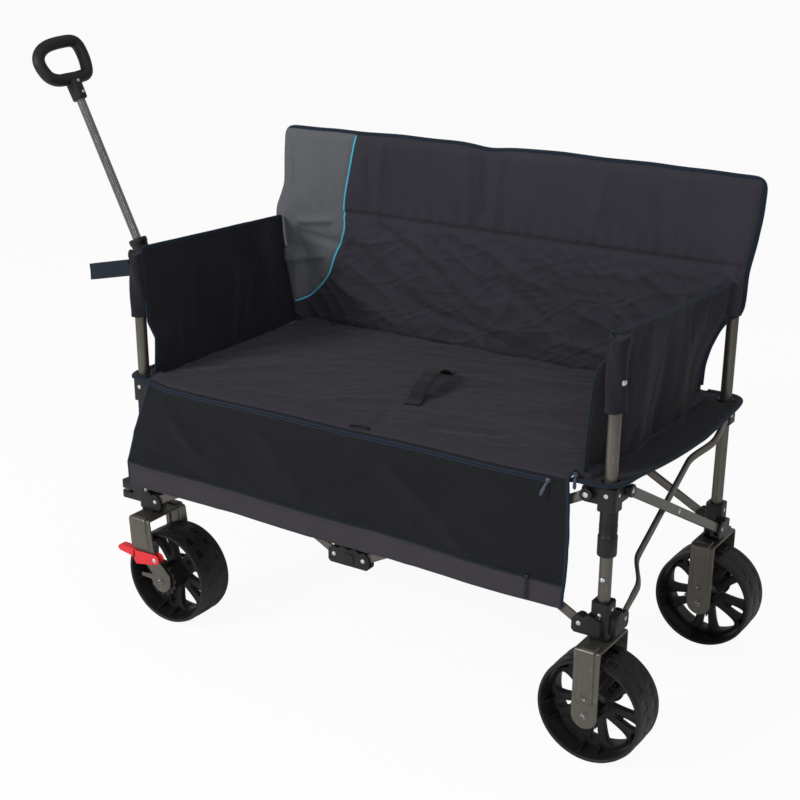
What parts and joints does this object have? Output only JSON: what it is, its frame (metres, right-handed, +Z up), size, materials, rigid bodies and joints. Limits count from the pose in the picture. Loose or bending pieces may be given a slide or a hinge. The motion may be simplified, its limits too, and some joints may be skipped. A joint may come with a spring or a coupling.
{
  "type": "folding wagon bench",
  "caption": "Hand-pulled folding wagon whose open side turns it into a padded bench, with scissor frame, braked casters and a telescopic pull handle.",
  "frame": {"origin": "on the ground, under the middle of the whole object's box", "axes": "+X along the wagon from the pull handle to the rear, +Y from the open side to the backrest, +Z up"},
  "size_m": [1.5358, 0.623, 1.1001],
  "materials": {
    "painted_steel": "satin warm grey powder coat",
    "black_nylon": "fine grained moulded nylon",
    "wheel_plastic": "moulded wheel with a satin tread",
    "red_plastic": "bright moulded red",
    "zinc": "bright zinc plate",
    "padded_cloth": "quilted polyester over foam",
    "lining_cloth": "woven polyester with navy binding",
    "navy_webbing": "woven webbing"
  },
  "bodies": {
    "deck": {"handle_bracket": "black_nylon", "seat_pad": "padded_cloth", "seat_strap": "navy_webbing"},
    "corner_rear_left": {"post_rear_left": "painted_steel", "lower_joint_rear_left": "black_nylon", "post_coupler_rear_left": "black_nylon", "fork_rear_left": "painted_steel", "end_wall_rear": "lining_cloth", "end_ledge_rear": "lining_cloth"},
    "slider_rear_left": {"sliding_joint_rear_left": "black_nylon"},
    "corner_rear_right": {"post_rear_right": "painted_steel", "lower_joint_rear_right": "black_nylon", "fork_rear_right": "painted_steel"},
    "slider_rear_right": {"sliding_joint_rear_right": "black_nylon"},
    "corner_front_left": {"post_front_left": "painted_steel", "lower_joint_front_left": "black_nylon", "post_coupler_front_left": "black_nylon", "end_wall_front": "lining_cloth", "end_ledge_front": "lining_cloth", "strap_loop": "navy_webbing"},
    "slider_front_left": {"sliding_joint_front_left": "black_nylon"},
    "corner_front_right": {"post_front_right": "painted_steel", "lower_joint_front_right": "black_nylon"},
    "slider_front_right": {"sliding_joint_front_right": "black_nylon"},
    "centre_left": {"centre_lower_left": "black_nylon", "side_panel": "lining_cloth"},
    "centre_slider_left": {"centre_upper_left": "black_nylon"},
    "centre_right": {"centre_lower_right": "black_nylon", "backrest": "padded_cloth"},
    "centre_slider_right": {"centre_upper_right": "black_nylon"},
    "side_bar_straight_front_left": {"side_bar_straight_front_left": "painted_steel"},
    "side_bar_bent_front_left": {"side_bar_bent_front_left": "painted_steel"},
    "side_bar_straight_rear_left": {"side_bar_straight_rear_left": "painted_steel"},
    "side_bar_bent_rear_left": {"side_bar_bent_rear_left": "painted_steel"},
    "side_bar_straight_front_right": {"side_bar_straight_front_right": "painted_steel"},
    "side_bar_bent_front_right": {"side_bar_bent_front_right": "painted_steel"},
    "side_bar_straight_rear_right": {"side_bar_straight_rear_right": "painted_steel"},
    "side_bar_bent_rear_right": {"side_bar_bent_rear_right": "painted_steel"},
    "end_bar_bent_front": {"end_bar_bent_front": "painted_steel"},
    "end_bar_straight_front": {"end_bar_straight_front": "painted_steel"},
    "end_bar_bent_rear": {"end_bar_bent_rear": "painted_steel"},
    "end_bar_straight_rear": {"end_bar_straight_rear": "painted_steel"},
    "handle_link_left": {"handle_link_left": "painted_steel"},
    "handle_link_right": {"handle_link_right": "painted_steel"},
    "caster_front_left": {"fork_front_left": "painted_steel"},
    "brake_left": {"brake_lever_front_left": "red_plastic"},
    "caster_front_right": {"fork_front_right": "painted_steel"},
    "brake_right": {"brake_lever_front_right": "red_plastic"},
    "wheel_rear_left": {"wheel_rear_left": "wheel_plastic"},
    "wheel_rear_right": {"wheel_rear_right": "wheel_plastic"},
    "wheel_front_left": {"wheel_front_left": "wheel_plastic"},
    "wheel_front_right": {"wheel_front_right": "wheel_plastic"},
    "handle": {"handle_outer_tube": "painted_steel", "handle_collar": "black_nylon"},
    "handle_top": {"handle_inner_tube": "painted_steel", "handle_grip": "black_nylon"},
    "button_front": {"push_button_front_left": "zinc"},
    "button_rear": {"push_button_rear_left": "zinc"}
  },
  "joints": [
    {"name": "frame_fold", "type": "slide", "parent": "deck", "child": "corner_rear_left", "axis": [-0.8944, 0.4472, 0], "range_m": [0, 0.26497], "deforming": ["seat_pad", "backrest", "end_wall_front", "end_wall_rear", "end_ledge_front", "end_ledge_rear", "side_panel"]},
    {"name": "slider_climb_rear_left", "type": "slide", "parent": "corner_rear_left", "child": "slider_rear_left", "axis": [0, 0, 1], "range_m": [0, 0.22002]},
    {"name": "corner_slide_rear_right", "type": "slide", "parent": "deck", "child": "corner_rear_right", "axis": [-0.8944, -0.4472, 0], "range_m": [0, 0.26497]},
    {"name": "slider_climb_rear_right", "type": "slide", "parent": "corner_rear_right", "child": "slider_rear_right", "axis": [0, 0, 1], "range_m": [0, 0.22002]},
    {"name": "corner_slide_front_left", "type": "slide", "parent": "deck", "child": "corner_front_left", "axis": [0.8944, 0.4472, 0], "range_m": [0, 0.26497]},
    {"name": "slider_climb_front_left", "type": "slide", "parent": "corner_front_left", "child": "slider_front_left", "axis": [0, 0, 1], "range_m": [0, 0.22002]},
    {"name": "corner_slide_front_right", "type": "slide", "parent": "deck", "child": "corner_front_right", "axis": [0.8944, -0.4472, 0], "range_m": [0, 0.26497]},
    {"name": "slider_climb_front_right", "type": "slide", "parent": "corner_front_right", "child": "slider_front_right", "axis": [0, 0, 1], "range_m": [0, 0.22002]},
    {"name": "centre_slide_left", "type": "slide", "parent": "deck", "child": "centre_left", "axis": [0, 1, 0], "range_m": [0, 0.1185]},
    {"name": "centre_climb_left", "type": "slide", "parent": "centre_left", "child": "centre_slider_left", "axis": [0, 0, 1], "range_m": [0, 0.22002]},
    {"name": "centre_slide_right", "type": "slide", "parent": "deck", "child": "centre_right", "axis": [0, -1, 0], "range_m": [0, 0.1185]},
    {"name": "centre_climb_right", "type": "slide", "parent": "centre_right", "child": "centre_slider_right", "axis": [0, 0, 1], "range_m": [0, 0.22002]},
    {"name": "side_bar_straight_front_left_pivot", "type": "hinge", "parent": "corner_front_left", "child": "side_bar_straight_front_left", "pos_m": [-0.29813, -0.2698, 0.252], "axis": [0, -1, 0], "range_deg": [0, 38.22]},
    {"name": "side_bar_bent_front_left_pivot", "type": "hinge", "parent": "centre_left", "child": "side_bar_bent_front_left", "pos_m": [0.13787, -0.2698, 0.252], "axis": [0, 1, 0], "range_deg": [0, 38.22]},
    {"name": "side_bar_straight_rear_left_pivot", "type": "hinge", "parent": "corner_rear_left", "child": "side_bar_straight_rear_left", "pos_m": [0.63787, -0.2698, 0.252], "axis": [0, 1, 0], "range_deg": [0, 38.22]},
    {"name": "side_bar_bent_rear_left_pivot", "type": "hinge", "parent": "centre_left", "child": "side_bar_bent_rear_left", "pos_m": [0.20187, -0.2698, 0.252], "axis": [0, -1, 0], "range_deg": [0, 38.22]},
    {"name": "side_bar_straight_front_right_pivot", "type": "hinge", "parent": "corner_front_right", "child": "side_bar_straight_front_right", "pos_m": [-0.29813, 0.2698, 0.252], "axis": [0, -1, 0], "range_deg": [0, 38.22]},
    {"name": "side_bar_bent_front_right_pivot", "type": "hinge", "parent": "centre_right", "child": "side_bar_bent_front_right", "pos_m": [0.13787, 0.2698, 0.252], "axis": [0, 1, 0], "range_deg": [0, 38.22]},
    {"name": "side_bar_straight_rear_right_pivot", "type": "hinge", "parent": "corner_rear_right", "child": "side_bar_straight_rear_right", "pos_m": [0.63787, 0.2698, 0.252], "axis": [0, 1, 0], "range_deg": [0, 38.22]},
    {"name": "side_bar_bent_rear_right_pivot", "type": "hinge", "parent": "centre_right", "child": "side_bar_bent_rear_right", "pos_m": [0.20187, 0.2698, 0.252], "axis": [0, -1, 0], "range_deg": [0, 38.22]},
    {"name": "end_bar_bent_front_pivot", "type": "hinge", "parent": "corner_front_left", "child": "end_bar_bent_front", "pos_m": [-0.34993, -0.218, 0.252], "axis": [1, 0, 0], "range_deg": [0, 38.22]},
    {"name": "end_bar_straight_front_pivot", "type": "hinge", "parent": "corner_front_right", "child": "end_bar_straight_front", "pos_m": [-0.34993, 0.218, 0.252], "axis": [-1, 0, 0], "range_deg": [0, 38.22]},
    {"name": "end_bar_bent_rear_pivot", "type": "hinge", "parent": "corner_rear_left", "child": "end_bar_bent_rear", "pos_m": [0.68967, -0.218, 0.252], "axis": [1, 0, 0], "range_deg": [0, 38.22]},
    {"name": "end_bar_straight_rear_pivot", "type": "hinge", "parent": "corner_rear_right", "child": "end_bar_straight_rear", "pos_m": [0.68967, 0.218, 0.252], "axis": [-1, 0, 0], "range_deg": [0, 38.22]},
    {"name": "handle_link_pivot_left", "type": "hinge", "parent": "deck", "child": "handle_link_left", "pos_m": [-0.35201, -0.03, 0.253], "axis": [0, 0, 1], "range_deg": [0, 72.79]},
    {"name": "handle_link_pivot_right", "type": "hinge", "parent": "deck", "child": "handle_link_right", "pos_m": [-0.35201, 0.03, 0.253], "axis": [0, 0, -1], "range_deg": [0, 72.79]},
    {"name": "caster_swivel_left", "type": "hinge", "parent": "corner_front_left", "child": "caster_front_left", "pos_m": [-0.33013, -0.25, 0.2], "axis": [0, 0, 1], "continuous": true},
    {"name": "brake_left", "type": "hinge", "parent": "caster_front_left", "child": "brake_left", "pos_m": [-0.27863, -0.25, 0.14186], "axis": [0, -1, 0], "range_deg": [0, 15]},
    {"name": "caster_swivel_right", "type": "hinge", "parent": "corner_front_right", "child": "caster_front_right", "pos_m": [-0.33013, 0.25, 0.2], "axis": [0, 0, 1], "continuous": true},
    {"name": "brake_right", "type": "hinge", "parent": "caster_front_right", "child": "brake_right", "pos_m": [-0.27863, 0.25, 0.14186], "axis": [0, -1, 0], "range_deg": [0, 15]},
    {"name": "wheel_spin_rear_left", "type": "hinge", "parent": "corner_rear_left", "child": "wheel_rear_left", "pos_m": [0.66987, -0.25, 0.09746], "axis": [0, 1, 0], "continuous": true},
    {"name": "wheel_spin_rear_right", "type": "hinge", "parent": "corner_rear_right", "child": "wheel_rear_right", "pos_m": [0.66987, 0.25, 0.09746], "axis": [0, 1, 0], "continuous": true},
    {"name": "wheel_spin_front_left", "type": "hinge", "parent": "caster_front_left", "child": "wheel_front_left", "pos_m": [-0.26813, -0.25, 0.09746], "axis": [0, 1, 0], "continuous": true},
    {"name": "wheel_spin_front_right", "type": "hinge", "parent": "caster_front_right", "child": "wheel_front_right", "pos_m": [-0.26813, 0.25, 0.09746], "axis": [0, 1, 0], "continuous": true},
    {"name": "handle_tilt", "type": "hinge", "parent": "deck", "child": "handle", "pos_m": [-0.35201, 0, 0.27], "axis": [0, -1, 0], "range_deg": [-13, 62]},
    {"name": "handle_telescope", "type": "slide", "parent": "handle", "child": "handle_top", "axis": [0.4368, 0, -0.8996], "range_m": [0, 0.28]},
    {"name": "button_press_front", "type": "slide", "parent": "corner_front_left", "child": "button_front", "axis": [0, 1, 0], "range_m": [0, 0.0022], "stiffness_N_per_m": 400},
    {"name": "button_press_rear", "type": "slide", "parent": "corner_rear_left", "child": "button_rear", "axis": [0, 1, 0], "range_m": [0, 0.0022], "stiffness_N_per_m": 400}
  ],
  "couplings": [
    {"joint": "slider_climb_rear_left", "follows": "frame_fold", "ratio": 0.83033},
    {"joint": "corner_slide_rear_right", "follows": "frame_fold", "ratio": 1},
    {"joint": "slider_climb_rear_right", "follows": "frame_fold", "ratio": 0.83033},
    {"joint": "corner_slide_front_left", "follows": "frame_fold", "ratio": 1},
    {"joint": "slider_climb_front_left", "follows": "frame_fold", "ratio": 0.83033},
    {"joint": "corner_slide_front_right", "follows": "frame_fold", "ratio": 1},
    {"joint": "slider_climb_front_right", "follows": "frame_fold", "ratio": 0.83033},
    {"joint": "centre_slide_left", "follows": "frame_fold", "ratio": 0.44721},
    {"joint": "centre_climb_left", "follows": "frame_fold", "ratio": 0.83033},
    {"joint": "centre_slide_right", "follows": "frame_fold", "ratio": 0.44721},
    {"joint": "centre_climb_right", "follows": "frame_fold", "ratio": 0.83033},
    {"joint": "side_bar_straight_front_left_pivot", "follows": "frame_fold", "rad_per_m": 2.5175},
    {"joint": "side_bar_bent_front_left_pivot", "follows": "frame_fold", "rad_per_m": 2.5175},
    {"joint": "side_bar_straight_rear_left_pivot", "follows": "frame_fold", "rad_per_m": 2.5175},
    {"joint": "side_bar_bent_rear_left_pivot", "follows": "frame_fold", "rad_per_m": 2.5175},
    {"joint": "side_bar_straight_front_right_pivot", "follows": "frame_fold", "rad_per_m": 2.5175},
    {"joint": "side_bar_bent_front_right_pivot", "follows": "frame_fold", "rad_per_m": 2.5175},
    {"joint": "side_bar_straight_rear_right_pivot", "follows": "frame_fold", "rad_per_m": 2.5175},
    {"joint": "side_bar_bent_rear_right_pivot", "follows": "frame_fold", "rad_per_m": 2.5175},
    {"joint": "end_bar_bent_front_pivot", "follows": "frame_fold", "rad_per_m": 2.5175},
    {"joint": "end_bar_straight_front_pivot", "follows": "frame_fold", "rad_per_m": 2.5175},
    {"joint": "end_bar_bent_rear_pivot", "follows": "frame_fold", "rad_per_m": 2.5175},
    {"joint": "end_bar_straight_rear_pivot", "follows": "frame_fold", "rad_per_m": 2.5175},
    {"joint": "handle_link_pivot_left", "follows": "frame_fold", "rad_per_m": 4.7947},
    {"joint": "handle_link_pivot_right", "follows": "frame_fold", "rad_per_m": 4.7947}
  ]
}
